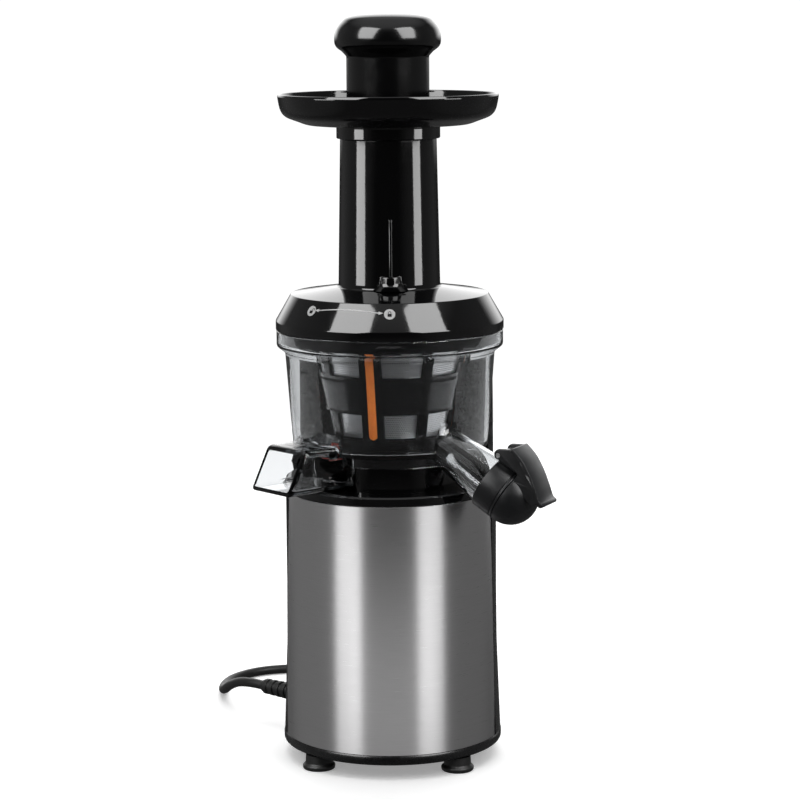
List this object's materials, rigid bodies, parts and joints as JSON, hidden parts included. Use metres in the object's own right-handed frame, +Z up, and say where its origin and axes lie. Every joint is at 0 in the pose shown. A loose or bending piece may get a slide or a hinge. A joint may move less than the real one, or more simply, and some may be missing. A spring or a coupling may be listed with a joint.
{
  "type": "cold press juicer",
  "caption": "Upright slow juicer: steel-wrapped motor base, clear bowl with pulp chute and capped spout, strainer, wiper brush, auger, feed lid, hopper tray and pusher.",
  "frame": {"origin": "table top under the juicer's main vertical axis, level with the undersides of the four feet", "axes": "+Z up along the main axis, -Y towards the front that the picture shows, +X to the viewer's right"},
  "size_m": [0.2473, 0.2943, 0.4848],
  "materials": {
    "black_gloss": "gloss moulded plastic",
    "black_satin": "satin moulded plastic",
    "dark_grey": "satin moulded plastic",
    "clear": "clear polished plastic",
    "steel_brushed": "brushed round the body",
    "steel_mesh": "perforated sheet",
    "steel_plain": "turned",
    "bronze": "sintered",
    "silicone_orange": "soft silicone",
    "silicone_red": "soft silicone",
    "silicone_grey": "soft silicone",
    "rubber_black": "matt rubber",
    "nylon": "natural nylon",
    "winding": "varnished copper on steel",
    "board": "circuit board"
  },
  "bodies": {
    "base": {"base_plate": "black_satin", "rubber_feet": "rubber_black", "base_screws": "steel_plain", "steel_sleeve": "steel_brushed", "inner_shell": "black_satin", "back_cover": "black_satin", "top_housing": "black_gloss", "gearbox_lower": "nylon", "gearbox_upper": "nylon", "gearbox_screws": "steel_plain", "motor_stator": "winding", "motor_bracket": "steel_plain", "motor_screws": "steel_plain", "ball_bearings": "steel_plain", "drive_bush": "bronze", "shaft_seal": "rubber_black", "gear_axle": "steel_plain", "circuit_board": "board", "switch_bezel": "black_satin", "strain_relief": "rubber_black", "power_cord": "rubber_black", "cord_coil": "rubber_black", "mains_plug": "rubber_black"},
    "rotor": {"rotor": "steel_plain", "cooling_fan": "black_satin"},
    "countershaft": {"reduction_gear": "nylon"},
    "drive": {"output_gear": "nylon", "drive_shaft": "steel_plain"},
    "rocker": {"rocker_switch": "black_gloss"},
    "bowl": {"juice_bowl": "clear", "juice_spout": "clear", "pulp_chute": "clear", "bowl_seal": "silicone_red", "pulp_plug": "silicone_red", "spout_sleeve": "dark_grey", "hinge_pin": "steel_plain", "strainer_frame": "black_satin", "strainer_mesh": "steel_mesh"},
    "cap": {"spout_cap": "dark_grey", "cap_seal": "silicone_grey"},
    "idler": {"brush_idler": "nylon"},
    "brush": {"brush_frame": "black_satin", "wiper_strips": "silicone_orange"},
    "auger": {"auger": "black_satin", "auger_socket": "steel_plain", "auger_pin": "steel_plain"},
    "lid": {"lid": "black_gloss", "feed_tube": "black_gloss", "lid_bush": "bronze"},
    "tray": {"hopper_tray": "black_gloss"},
    "pusher": {"pusher": "black_gloss"}
  },
  "joints": [
    {"name": "rotor_spin", "type": "hinge", "parent": "base", "child": "rotor", "pos_m": [0, 0, 0.08], "axis": [0, 0, 1], "continuous": true},
    {"name": "countershaft_spin", "type": "hinge", "parent": "base", "child": "countershaft", "pos_m": [0, 0.03, 0.13], "axis": [0, 0, 1], "continuous": true},
    {"name": "drive_spin", "type": "hinge", "parent": "base", "child": "drive", "pos_m": [0, 0, 0.15], "axis": [0, 0, 1], "continuous": true},
    {"name": "rocker_tilt", "type": "hinge", "parent": "base", "child": "rocker", "pos_m": [0, 0.06423, 0.062], "axis": [1, 0, 0], "range_deg": [-9, 9]},
    {"name": "bowl_lift", "type": "slide", "parent": "base", "child": "bowl", "axis": [0, 0, 1], "range_m": [0, 0.08]},
    {"name": "spout_cap_swing", "type": "hinge", "parent": "bowl", "child": "cap", "pos_m": [0.07637, -0.06032, 0.21136], "axis": [-0.373, -0.9278, 0], "range_deg": [0, 95]},
    {"name": "idler_spin", "type": "hinge", "parent": "bowl", "child": "idler", "pos_m": [0.01697, 0.01697, 0.21], "axis": [0, 0, 1], "continuous": true},
    {"name": "brush_spin", "type": "hinge", "parent": "bowl", "child": "brush", "pos_m": [0, 0, 0.24], "axis": [0, 0, 1], "continuous": true},
    {"name": "auger_spin", "type": "hinge", "parent": "bowl", "child": "auger", "pos_m": [0, 0, 0.25], "axis": [0, 0, 1], "continuous": true},
    {"name": "lid_twist", "type": "hinge", "parent": "bowl", "child": "lid", "pos_m": [0, 0, 0.285], "axis": [0, 0, 1], "range_deg": [0, 46]},
    {"name": "tray_lift", "type": "slide", "parent": "lid", "child": "tray", "axis": [0, 0, 1], "range_m": [0, 0.03]},
    {"name": "pusher_slide", "type": "slide", "parent": "lid", "child": "pusher", "axis": [0, 0, 1], "range_m": [0, 0.16]}
  ],
  "couplings": [
    {"joint": "countershaft_spin", "follows": "rotor_spin", "ratio": -0.25},
    {"joint": "drive_spin", "follows": "rotor_spin", "ratio": 0.0625},
    {"joint": "auger_spin", "follows": "rotor_spin", "ratio": 0.0625},
    {"joint": "idler_spin", "follows": "rotor_spin", "ratio": -0.0625},
    {"joint": "brush_spin", "follows": "rotor_spin", "ratio": -0.020833}
  ]
}
